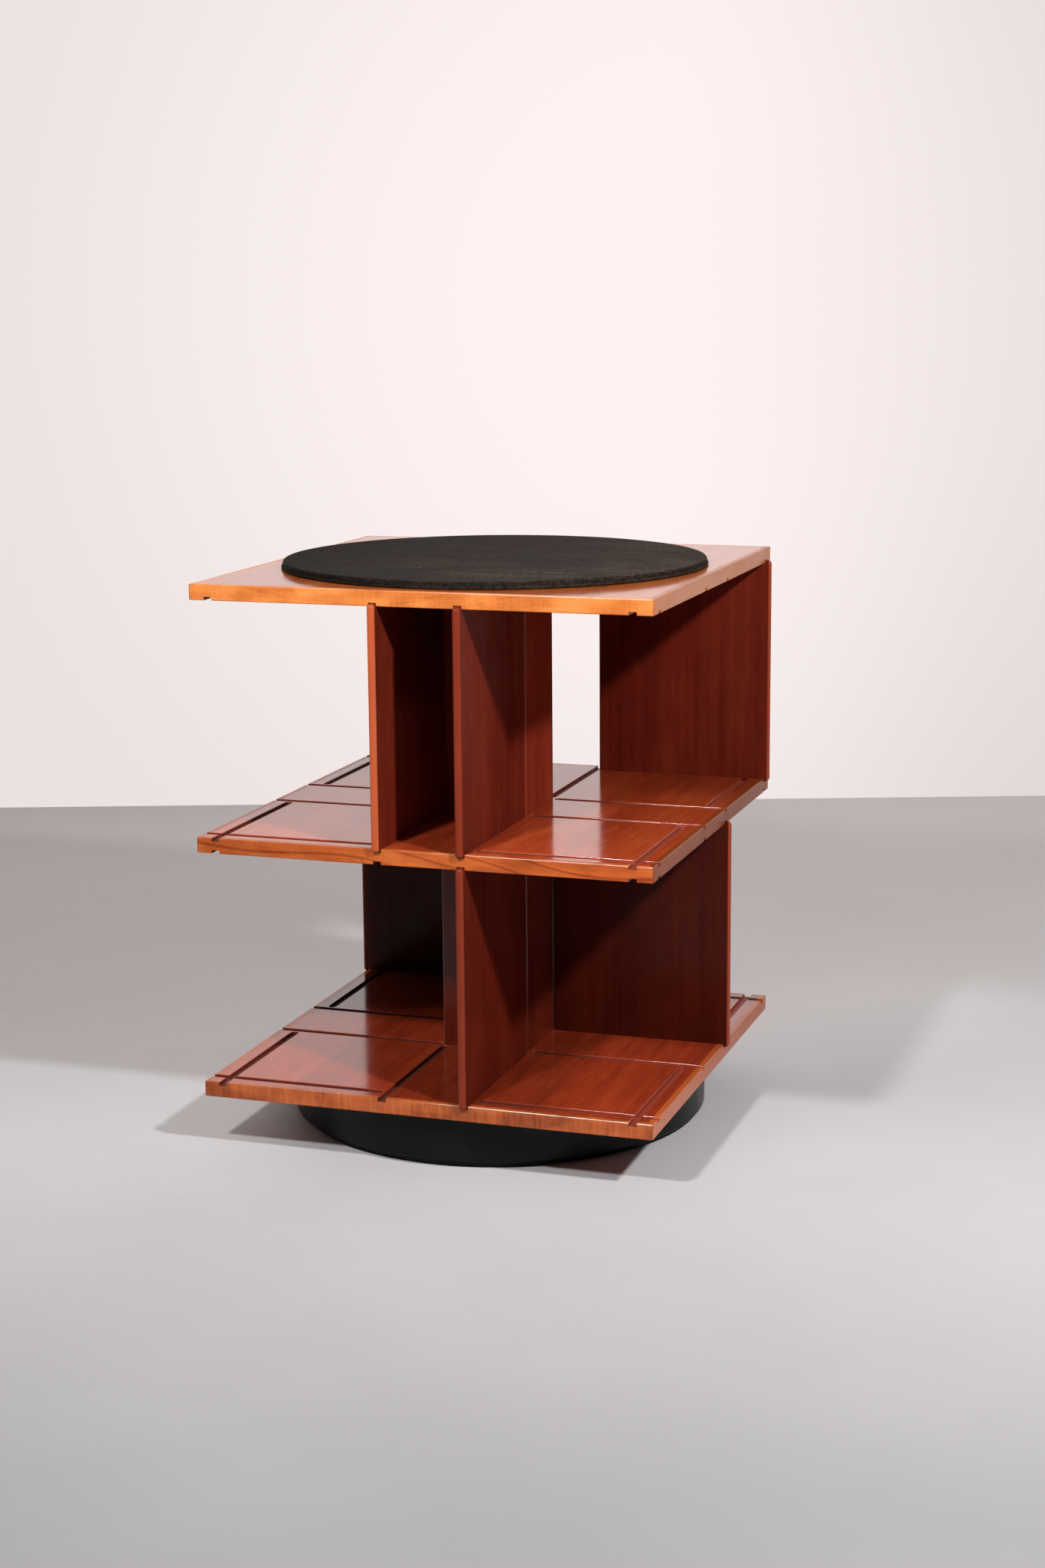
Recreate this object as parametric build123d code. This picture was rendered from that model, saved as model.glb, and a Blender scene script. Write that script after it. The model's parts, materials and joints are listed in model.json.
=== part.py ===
from build123d import *
import math
import os

# Revolving bookcase. Millimetres, +Z up, origin on the floor at the axis it revolves about.
# The front is -Y and the right-hand side is +X.

# Boards
BOARD_WIDTH = 600.0
BOARD_THICKNESS = 20.0
BOARD_CORNER_RADIUS = 2.5
BOARD_ARRIS_RADIUS = 1.5
LIPPING_WIDTH = 8.0
SHELF_CLEAR_HEIGHT = 302.0

# Grooves that the dividers slide in
GROOVE_WIDTH = 10.4
GROOVE_DEPTH = 4.5
RADIAL_GROOVE_OFFSET = 55.0
EDGE_GROOVE_OFFSET = 274.0
GROOVE_BLIND_END = 63.0
GROOVE_ROUND_RADIUS = 0.9
GROOVE_ROUND_DEPTH = 0.85
CUTTER_OVERRUN = 5.0

# Hollow core column
CORE_WIDTH = 120.0
CORE_WALL = 12.0
CORE_CORNER_RADIUS = 5.0
CLEAT_WIDTH = 14.0

# Divider panels
DIVIDER_THICKNESS = 10.0
DIVIDER_LENGTH = 246.8
DIVIDER_STANDS_OUT = 7.5
DIVIDER_OUTER_CORNER_RADIUS = 6.0
DIVIDER_TONGUE_SETBACK = 6.6
DIVIDER_EDGE_RADIUS = 3.5
DIVIDER_PLAY_BELOW = 0.1
DIVIDER_PLAY_ABOVE = 0.6

# Drum plinth
DRUM_RADIUS = 278.0
SKIRT_THICKNESS = 8.0
SKIRT_EDGE_RADIUS = 1.0
FOOT_RADIUS = 268.0
FELT_RADIUS = 266.0
FELT_THICKNESS = 2.0
FOOT_HEIGHT = 10.0
SKIRT_TOP = 69.0
BOARD_UNDERSIDE = 72.0
BASE_DISC_THICKNESS = 12.0
DECK_THICKNESS = 12.0
BLOCK_COUNT = 8
BLOCK_LENGTH = 46.0
BLOCK_WIDTH = 26.0
BLOCK_RING_RADIUS = 245.0

# Swivel bearing
RACE_OUTER_RADIUS = 150.0
RACE_INNER_RADIUS = 110.0
RACE_THICKNESS = 6.0
RACE_GAP = 7.0
TRACK_RADIUS = 130.0
BALL_RADIUS = 4.5
BALL_COUNT = 24
TRACK_CLEARANCE = 0.3
CAGE_THICKNESS = 2.0
CAGE_HALF_WIDTH = 8.0
CAGE_HOLE_CLEARANCE = 0.2
RACE_SCREW_COUNT = 8
RACE_SCREW_RING_RADIUS = 143.0

# Tie rod and pivot
ROD_RADIUS = 8.0
ROD_HOLE_RADIUS = 8.5
NUT_ACROSS_FLATS = 24.0
THIN_NUT_HEIGHT = 8.0
PIVOT_NUT_HEIGHT = 12.0
NUT_HOLE_RADIUS = 8.1
WASHER_RADIUS = 18.0
WASHER_THICKNESS = 2.5
RECESS_RADIUS = 22.0
TOP_RECESS_DEPTH = 14.0
BOTTOM_RECESS_DEPTH = 9.0
ROD_STANDS_OUT = 1.5
BUSH_RADIUS = 13.0
BUSH_FLANGE_RADIUS = 20.0
BUSH_FLANGE_THICKNESS = 2.0
PIVOT_CLEARANCE = 0.05
PIVOT_END_PLAY = 0.5

# Wood screws
SCREW_RADIUS = 2.0
SCREW_HEAD_RADIUS = 4.0
SCREW_HEAD_HEIGHT = 2.2
SCREW_HOLE_CLEARANCE = 0.1
DECK_SCREW_LENGTH = 28.0
UPPER_RACE_SCREW_LENGTH = 18.0
LOWER_RACE_SCREW_LENGTH = 16.0

# Round pad on the top board
PAD_RADIUS = 280.0
PAD_FOOT_RADIUS = 278.0
PAD_WELT_HEIGHT = 2.1
PAD_NECK_RADIUS = 278.0
PAD_NECK_HEIGHT = 4.2
PAD_SHOULDER_HEIGHT = 8.0
PAD_SHOULDER_RADIUS = 277.4
PAD_RIM_RADIUS = 274.6
PAD_RIM_HEIGHT = 10.2
PAD_CROWN_HEIGHT = 11.0
PAD_CLEARANCE = 0.1

# Levels worked out from the sizes above
HALF_WIDTH = BOARD_WIDTH / 2
LEVEL_PITCH = SHELF_CLEAR_HEIGHT + BOARD_THICKNESS
BOTTOM_FLOOR = BOARD_UNDERSIDE + BOARD_THICKNESS
MIDDLE_UNDERSIDE = BOARD_UNDERSIDE + LEVEL_PITCH
MIDDLE_FLOOR = MIDDLE_UNDERSIDE + BOARD_THICKNESS
TOP_UNDERSIDE = MIDDLE_UNDERSIDE + LEVEL_PITCH
TOP_FACE = TOP_UNDERSIDE + BOARD_THICKNESS

UPPER_RACE_BOTTOM = BOARD_UNDERSIDE - RACE_THICKNESS
LOWER_RACE_TOP = UPPER_RACE_BOTTOM - RACE_GAP
DECK_TOP = LOWER_RACE_TOP - RACE_THICKNESS
DECK_BOTTOM = DECK_TOP - DECK_THICKNESS
BALL_HEIGHT = LOWER_RACE_TOP + RACE_GAP / 2
BASE_DISC_TOP = FOOT_HEIGHT + BASE_DISC_THICKNESS

TOP_RECESS_FLOOR = TOP_FACE - TOP_RECESS_DEPTH
BOTTOM_RECESS_ROOF = BOARD_UNDERSIDE + BOTTOM_RECESS_DEPTH
PIVOT_WASHER_TOP = DECK_BOTTOM - PIVOT_END_PLAY
PIVOT_NUT_TOP = PIVOT_WASHER_TOP - WASHER_THICKNESS
ROD_BOTTOM = PIVOT_NUT_TOP - PIVOT_NUT_HEIGHT - ROD_STANDS_OUT
TOP_NUT_BOTTOM = TOP_RECESS_FLOOR + WASHER_THICKNESS
ROD_TOP = TOP_NUT_BOTTOM + THIN_NUT_HEIGHT + ROD_STANDS_OUT

# Quarter turns that carry a thing drawn on the +X side to each side of the bookcase
SIDE_TURN = {"right": 0, "back": 90, "left": 180, "front": -90}


def block(x_low, x_high, y_low, y_high, z_low, z_high):
    """A box between two corners."""
    middle = Pos((x_low + x_high) / 2, (y_low + y_high) / 2, (z_low + z_high) / 2)
    return middle * Box(x_high - x_low, y_high - y_low, z_high - z_low)


def disc(radius, z_one, z_other, x=0.0, y=0.0):
    """An upright cylinder between two heights, given in either order."""
    return Pos(x, y, (z_one + z_other) / 2) * Cylinder(radius, abs(z_other - z_one))


def ring(outer_radius, inner_radius, z_low, z_high):
    """A flat ring about the axis of the bookcase."""
    return disc(outer_radius, z_low, z_high) - disc(inner_radius, z_low, z_high)


def quarter_wedge(side, z_low, z_high):
    """The quarter of the plan that belongs to one side, cut along both diagonals."""
    reach = BOARD_WIDTH
    plan = Polygon((0, 0), (reach, -reach), (reach, reach), align=None)
    return Rot(0, 0, SIDE_TURN[side]) * Pos(0, 0, z_low) * extrude(plan, amount=z_high - z_low)


def ring_places(radius, count):
    """Evenly spaced points on a circle about the axis."""
    angles = [2 * math.pi * place / count for place in range(count)]
    return [(radius * math.cos(angle), radius * math.sin(angle)) for angle in angles]


def groove_cutter(face, inward):
    """A groove in from the right-hand side with a round blind end and rounded edges.

    face is the height of the board's face, and inward is -1 down from a top face or 1 up from an underside.
    """
    half = GROOVE_WIDTH / 2
    end = GROOVE_BLIND_END + half
    run = HALF_WIDTH + CUTTER_OVERRUN - end
    bottom = face + inward * GROOVE_DEPTH
    outside = face - inward * CUTTER_OVERRUN
    slot = block(0, run, -half, half, min(bottom, outside), max(bottom, outside))
    slot += disc(half, bottom, outside)

    edge_start = face + inward * GROOVE_ROUND_DEPTH
    edge_middle = edge_start - inward * GROOVE_ROUND_RADIUS * math.sin(math.pi / 4)
    edge_end = edge_start - inward * GROOVE_ROUND_RADIUS
    wide = half + GROOVE_ROUND_RADIUS
    middle = wide - GROOVE_ROUND_RADIUS * math.cos(math.pi / 4)
    edge = ThreePointArc((half, edge_start), (middle, edge_middle), (wide, edge_end))
    rest = Polyline((wide, edge_end), (wide, outside), (0, outside), (0, edge_start), (half, edge_start))
    half_mouth = make_face([edge, rest])
    mouth = extrude(Plane.YZ * half_mouth, amount=run, dir=(1, 0, 0))
    mouth += mirror(mouth, about=Plane.XZ)
    mouth += revolve(Plane.XZ * half_mouth, Axis.Z)
    return Pos(end, 0, 0) * (slot + mouth)


def groove_cutters(face, inward):
    """Sixteen cutters for the grooves of one face, four in from each side."""
    cutter = groove_cutter(face, inward)
    offsets = (-EDGE_GROOVE_OFFSET, -RADIAL_GROOVE_OFFSET, RADIAL_GROOVE_OFFSET, EDGE_GROOVE_OFFSET)
    return [Rot(0, 0, turn) * Pos(0, y, 0) * cutter for turn in SIDE_TURN.values() for y in offsets]


def screw(x, y, head_outer_z, length, points_up):
    """A cheese-head wood screw whose head's outer face is at the given height."""
    sign = 1 if points_up else -1
    head_inner_z = head_outer_z + sign * SCREW_HEAD_HEIGHT
    tip_z = head_outer_z + sign * length
    head = disc(SCREW_HEAD_RADIUS, head_outer_z, head_inner_z, x, y)
    return head + disc(SCREW_RADIUS, head_inner_z, tip_z, x, y)


def screw_hole(x, y, head_outer_z, length, points_up):
    """The hole with a flat seat that one of those screws stands in."""
    sign = 1 if points_up else -1
    seat_z = head_outer_z + sign * SCREW_HEAD_HEIGHT
    tip_z = head_outer_z + sign * (length + SCREW_HOLE_CLEARANCE)
    seat = disc(SCREW_HEAD_RADIUS + SCREW_HOLE_CLEARANCE, head_outer_z, seat_z, x, y)
    return seat + disc(SCREW_RADIUS + SCREW_HOLE_CLEARANCE, head_outer_z, tip_z, x, y)


def nut(z_low, height):
    """A hexagon nut on the tie rod."""
    corner_radius = NUT_ACROSS_FLATS / math.sqrt(3)
    body = Pos(0, 0, z_low) * extrude(RegularPolygon(corner_radius, 6), amount=height)
    return body - disc(NUT_HOLE_RADIUS, z_low, z_low + height)


def washer(z_low):
    """A flat washer on the tie rod."""
    return ring(WASHER_RADIUS, NUT_HOLE_RADIUS, z_low, z_low + WASHER_THICKNESS)


def board(name, underside, grooves_below, grooves_above, openings):
    """A veneered panel with its four mitred lippings, as a dictionary of solids."""
    top = underside + BOARD_THICKNESS
    cutters = list(openings)
    if grooves_below:
        cutters += groove_cutters(underside, 1)
    if grooves_above:
        cutters += groove_cutters(top, -1)

    outline = block(-HALF_WIDTH, HALF_WIDTH, -HALF_WIDTH, HALF_WIDTH, underside, top)
    outline = fillet(outline.edges().filter_by(Axis.Z), BOARD_CORNER_RADIUS)
    flat_faces = outline.faces().sort_by(Axis.Z)
    outline = fillet(flat_faces[0].edges() + flat_faces[-1].edges(), BOARD_ARRIS_RADIUS)

    inside = HALF_WIDTH - LIPPING_WIDTH
    panel = block(-inside, inside, -inside, inside, underside, top)
    frame = outline - panel
    solids = {f"{name}_panel": panel - cutters}
    for side in SIDE_TURN:
        strip = frame & quarter_wedge(side, underside, top)
        solids[f"{name}_lipping_{side}"] = strip - cutters
    return solids


def core_level(name, z_low):
    """Four mitred walls of the hollow core and the cleats in its inner corners."""
    z_high = z_low + SHELF_CLEAR_HEIGHT
    half = CORE_WIDTH / 2
    inside = half - CORE_WALL
    column = block(-half, half, -half, half, z_low, z_high)
    column = fillet(column.edges().filter_by(Axis.Z), CORE_CORNER_RADIUS)
    tube = column - block(-inside, inside, -inside, inside, z_low, z_high)
    solids = {f"{name}_core_{side}": tube & quarter_wedge(side, z_low, z_high) for side in SIDE_TURN}
    cleat = block(inside - CLEAT_WIDTH, inside, inside - CLEAT_WIDTH, inside, z_low, z_high)
    solids[f"{name}_core_cleats"] = Compound([Rot(0, 0, turn) * cleat for turn in SIDE_TURN.values()])
    return solids


def divider(side, across, floor):
    """One sliding panel, from the side it slides out of, its place across it and its shelf's height.

    Its inner end reaches nearly to the core. Its tongues are set back there to clear the grooves' blind ends.
    """
    z_low = floor - GROOVE_DEPTH + DIVIDER_PLAY_BELOW
    z_high = floor + SHELF_CLEAR_HEIGHT + GROOVE_DEPTH - DIVIDER_PLAY_ABOVE
    outer_end = HALF_WIDTH + DIVIDER_STANDS_OUT
    half_length = DIVIDER_LENGTH / 2
    half_height = (z_high - z_low) / 2
    outline = Rectangle(2 * half_length, 2 * half_height)
    outline = fillet(outline.vertices().group_by(Axis.X)[-1], DIVIDER_OUTER_CORNER_RADIUS)
    sheet = extrude(Plane.XZ * outline, amount=DIVIDER_THICKNESS / 2, both=True)
    flat_faces = sheet.faces().sort_by(Axis.Y)
    sheet = fillet(flat_faces[0].edges() + flat_faces[-1].edges(), DIVIDER_EDGE_RADIUS)
    notch = block(
        -half_length - CUTTER_OVERRUN, DIVIDER_TONGUE_SETBACK - half_length,
        -DIVIDER_THICKNESS, DIVIDER_THICKNESS, half_height - GROOVE_DEPTH, half_height + CUTTER_OVERRUN,
    )
    sheet = sheet - [notch, mirror(notch, Plane.XY)]
    place = Pos(outer_end - half_length, across, (z_low + z_high) / 2)
    return Rot(0, 0, SIDE_TURN[side]) * place * sheet


def dividers():
    """The six panels where they stand; across is measured along the side's own left-to-right direction."""
    return {
        "divider_upper_front_left": divider("front", -RADIAL_GROOVE_OFFSET, MIDDLE_FLOOR),
        "divider_upper_front_right": divider("front", RADIAL_GROOVE_OFFSET, MIDDLE_FLOOR),
        "divider_upper_back_right": divider("right", EDGE_GROOVE_OFFSET, MIDDLE_FLOOR),
        "divider_lower_front": divider("front", RADIAL_GROOVE_OFFSET, BOTTOM_FLOOR),
        "divider_lower_right": divider("right", RADIAL_GROOVE_OFFSET, BOTTOM_FLOOR),
        "divider_lower_back_left": divider("left", -EDGE_GROOVE_OFFSET, BOTTOM_FLOOR),
    }


def drum():
    """The plinth: felt, foot, base disc, blocks, deck and the skirt round them."""
    inner_radius = DRUM_RADIUS - SKIRT_THICKNESS
    skirt = ring(DRUM_RADIUS, inner_radius, FOOT_HEIGHT, SKIRT_TOP)
    outer_rims = skirt.edges().filter_by(GeomType.CIRCLE).sort_by(SortBy.RADIUS)[-2:]
    skirt = fillet(outer_rims, SKIRT_EDGE_RADIUS)

    block_angles = [360 / BLOCK_COUNT * place for place in range(BLOCK_COUNT)]
    screw_places = ring_places(BLOCK_RING_RADIUS, BLOCK_COUNT)
    holes = [screw_hole(x, y, DECK_TOP, DECK_SCREW_LENGTH, False) for x, y in screw_places]
    post = block(
        BLOCK_RING_RADIUS - BLOCK_WIDTH / 2, BLOCK_RING_RADIUS + BLOCK_WIDTH / 2,
        -BLOCK_LENGTH / 2, BLOCK_LENGTH / 2, BASE_DISC_TOP, DECK_BOTTOM,
    )
    posts = [Rot(0, 0, angle) * post - hole for angle, hole in zip(block_angles, holes)]

    deck = disc(inner_radius, DECK_BOTTOM, DECK_TOP) - holes - lower_race_holes()
    return {
        "floor_felt": disc(FELT_RADIUS, 0, FELT_THICKNESS),
        "foot_disc": disc(FOOT_RADIUS, FELT_THICKNESS, FOOT_HEIGHT),
        "base_disc": disc(inner_radius, FOOT_HEIGHT, BASE_DISC_TOP),
        "drum_skirt": skirt,
        "drum_deck": deck - disc(BUSH_RADIUS, DECK_BOTTOM, DECK_TOP),
        "deck_blocks": Compound(posts),
        "deck_screws": Compound([screw(x, y, DECK_TOP, DECK_SCREW_LENGTH, False) for x, y in screw_places]),
    }


def lower_race_holes():
    """The holes through the lower race and into the deck."""
    places = ring_places(RACE_SCREW_RING_RADIUS, RACE_SCREW_COUNT)
    return [screw_hole(x, y, LOWER_RACE_TOP, LOWER_RACE_SCREW_LENGTH, False) for x, y in places]


def upper_race_holes():
    """The holes through the upper race and into the bottom board."""
    places = ring_places(RACE_SCREW_RING_RADIUS, RACE_SCREW_COUNT)
    return [screw_hole(x, y, UPPER_RACE_BOTTOM, UPPER_RACE_SCREW_LENGTH, True) for x, y in places]


def swivel_bearing():
    """Two races, the balls between them and the cage that keeps the balls apart."""
    track = Pos(0, 0, BALL_HEIGHT) * Torus(TRACK_RADIUS, BALL_RADIUS + TRACK_CLEARANCE)
    screw_places = ring_places(RACE_SCREW_RING_RADIUS, RACE_SCREW_COUNT)
    lower = ring(RACE_OUTER_RADIUS, RACE_INNER_RADIUS, DECK_TOP, LOWER_RACE_TOP)
    upper = ring(RACE_OUTER_RADIUS, RACE_INNER_RADIUS, UPPER_RACE_BOTTOM, BOARD_UNDERSIDE)

    ball_places = ring_places(TRACK_RADIUS, BALL_COUNT)
    cage_low = BALL_HEIGHT - CAGE_THICKNESS / 2
    cage_high = BALL_HEIGHT + CAGE_THICKNESS / 2
    hole_radius = BALL_RADIUS + CAGE_HOLE_CLEARANCE
    cage = ring(TRACK_RADIUS + CAGE_HALF_WIDTH, TRACK_RADIUS - CAGE_HALF_WIDTH, cage_low, cage_high)
    return {
        "lower_race": lower - track - lower_race_holes(),
        "upper_race": upper - track - upper_race_holes(),
        "ball_cage": cage - [disc(hole_radius, cage_low, cage_high, x, y) for x, y in ball_places],
        "bearing_balls": Compound([Pos(x, y, BALL_HEIGHT) * Sphere(BALL_RADIUS) for x, y in ball_places]),
        "lower_race_screws": Compound(
            [screw(x, y, LOWER_RACE_TOP, LOWER_RACE_SCREW_LENGTH, False) for x, y in screw_places]
        ),
        "upper_race_screws": Compound(
            [screw(x, y, UPPER_RACE_BOTTOM, UPPER_RACE_SCREW_LENGTH, True) for x, y in screw_places]
        ),
    }


def tie_rod_and_pivot():
    """The rod that clamps the case together and turns in the bush of the drum's deck."""
    bush = disc(BUSH_RADIUS, DECK_BOTTOM, DECK_TOP)
    bush += disc(BUSH_FLANGE_RADIUS, DECK_TOP, DECK_TOP + BUSH_FLANGE_THICKNESS)
    lower_nut_low = BOTTOM_RECESS_ROOF - WASHER_THICKNESS - THIN_NUT_HEIGHT
    return {
        "tie_rod": disc(ROD_RADIUS, ROD_BOTTOM, ROD_TOP),
        "tie_rod_top_washer": washer(TOP_RECESS_FLOOR),
        "tie_rod_top_nut": nut(TOP_NUT_BOTTOM, THIN_NUT_HEIGHT),
        "tie_rod_lower_washer": washer(BOTTOM_RECESS_ROOF - WASHER_THICKNESS),
        "tie_rod_lower_nut": nut(lower_nut_low, THIN_NUT_HEIGHT),
        "pivot_bush": bush - disc(
            ROD_RADIUS + PIVOT_CLEARANCE, DECK_BOTTOM, DECK_TOP + BUSH_FLANGE_THICKNESS
        ),
        "pivot_washer": washer(PIVOT_NUT_TOP),
        "pivot_nut": nut(PIVOT_NUT_TOP - PIVOT_NUT_HEIGHT, PIVOT_NUT_HEIGHT),
    }


def top_pad():
    """The round pad: a welt at its foot, sides drawn in above it, a soft rim and a slight crown."""
    welt_mid = (PAD_RADIUS, PAD_WELT_HEIGHT)
    neck = (PAD_NECK_RADIUS, PAD_NECK_HEIGHT)
    shoulder = (PAD_SHOULDER_RADIUS, PAD_SHOULDER_HEIGHT)
    rim = (PAD_RIM_RADIUS, PAD_RIM_HEIGHT)
    crown = (0, PAD_CROWN_HEIGHT)
    base = Line((0, 0), (PAD_FOOT_RADIUS, 0))
    welt = ThreePointArc((PAD_FOOT_RADIUS, 0), welt_mid, neck)
    wall = Line(neck, shoulder)
    rim_round = TangentArc(shoulder, rim, tangent=wall % 1)
    dome = Line(rim, crown)
    axis_line = Line(crown, (0, 0))
    section = Plane.XZ * make_face([base, welt, wall, rim_round, dome, axis_line])
    return {"top_pad": Pos(0, 0, TOP_FACE + PAD_CLEARANCE) * revolve(section, Axis.Z)}


def bookcase():
    """Every piece of the bookcase under its own name."""
    rod_hole = disc(ROD_HOLE_RADIUS, 0, ROD_TOP)
    top_recess = disc(RECESS_RADIUS, TOP_RECESS_FLOOR, TOP_FACE)
    bottom_recess = disc(RECESS_RADIUS, BOARD_UNDERSIDE, BOTTOM_RECESS_ROOF)
    bottom_openings = [rod_hole, bottom_recess, *upper_race_holes()]
    pieces = {}
    pieces.update(drum())
    pieces.update(swivel_bearing())
    pieces.update(board("bottom", BOARD_UNDERSIDE, False, True, bottom_openings))
    pieces.update(board("middle", MIDDLE_UNDERSIDE, True, True, [rod_hole]))
    pieces.update(board("top", TOP_UNDERSIDE, True, False, [rod_hole, top_recess]))
    pieces.update(core_level("lower", BOTTOM_FLOOR))
    pieces.update(core_level("upper", MIDDLE_FLOOR))
    pieces.update(tie_rod_and_pivot())
    pieces.update(dividers())
    pieces.update(top_pad())
    return pieces


os.makedirs("parts", exist_ok=True)
for node, shape in bookcase().items():
    export_step(shape, f"parts/{node}.step")
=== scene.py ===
"""Looks of a revolving bookcase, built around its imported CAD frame.

The frame's pieces keep their shapes and get wood, lacquer, felt and metal finishes here. The round pad on
the top board is a soft piece, so it is modelled again as a stretched cover with a piped lower edge.
"""

import json
import logging
import math
from dataclasses import dataclass
from enum import Enum
from typing import Any, Optional, Union

import bmesh
import bpy
from mathutils import Matrix, Vector, noise

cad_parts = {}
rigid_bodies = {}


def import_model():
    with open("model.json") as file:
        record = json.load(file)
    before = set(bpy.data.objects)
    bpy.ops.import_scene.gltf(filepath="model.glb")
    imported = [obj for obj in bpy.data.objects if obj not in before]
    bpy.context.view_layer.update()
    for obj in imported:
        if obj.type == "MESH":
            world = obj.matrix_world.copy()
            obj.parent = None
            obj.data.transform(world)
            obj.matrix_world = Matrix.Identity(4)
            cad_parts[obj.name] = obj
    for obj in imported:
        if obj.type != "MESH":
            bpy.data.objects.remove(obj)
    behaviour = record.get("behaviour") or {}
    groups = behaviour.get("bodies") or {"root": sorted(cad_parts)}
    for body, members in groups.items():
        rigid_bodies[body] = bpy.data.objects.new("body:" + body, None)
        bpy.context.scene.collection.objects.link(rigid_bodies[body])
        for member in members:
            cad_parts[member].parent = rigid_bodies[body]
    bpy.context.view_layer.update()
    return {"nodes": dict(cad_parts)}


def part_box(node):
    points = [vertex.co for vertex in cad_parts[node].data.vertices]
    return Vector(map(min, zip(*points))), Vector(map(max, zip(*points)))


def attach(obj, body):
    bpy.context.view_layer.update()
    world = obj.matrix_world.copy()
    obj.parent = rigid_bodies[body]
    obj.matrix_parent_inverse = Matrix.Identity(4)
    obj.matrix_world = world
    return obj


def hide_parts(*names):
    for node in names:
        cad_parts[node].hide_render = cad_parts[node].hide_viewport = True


for leftover in list(bpy.data.objects):
    bpy.data.objects.remove(leftover)

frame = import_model()
MILLIMETRE = 0.001
SAME_PLACE = 1e-6

Colour = tuple[float, float, float]
Triple = tuple[float, float, float]
# A band is the two ends of a smooth step. A fade is a whole step: its ends and what it gives at each.
Band = tuple[float, float]
Fade = tuple[float, float, float, float]
Socket = bpy.types.NodeSocket
Value = Union[float, Triple, Socket]

NOISE_RANGE: Band = (0.3, 0.7)

log = logging.getLogger("bookcase")


def opaque(colour: Colour) -> tuple[float, float, float, float]:
    """The colour with full alpha."""
    return (*colour, 1.0)


def scaled_colour(colour: Colour, factor: float) -> Colour:
    """The colour made darker or lighter by a factor."""
    return (colour[0] * factor, colour[1] * factor, colour[2] * factor)


def spaced(*steps: tuple[float, Triple]) -> Triple:
    """A place some steps away, so that each piece is cut from wood of its own.

    Args:
        steps: For each kind of step, how many there are and how far one goes.

    Returns:
        The place.
    """
    return tuple(sum(count * step[axis] for count, step in steps) for axis in range(3))


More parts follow.
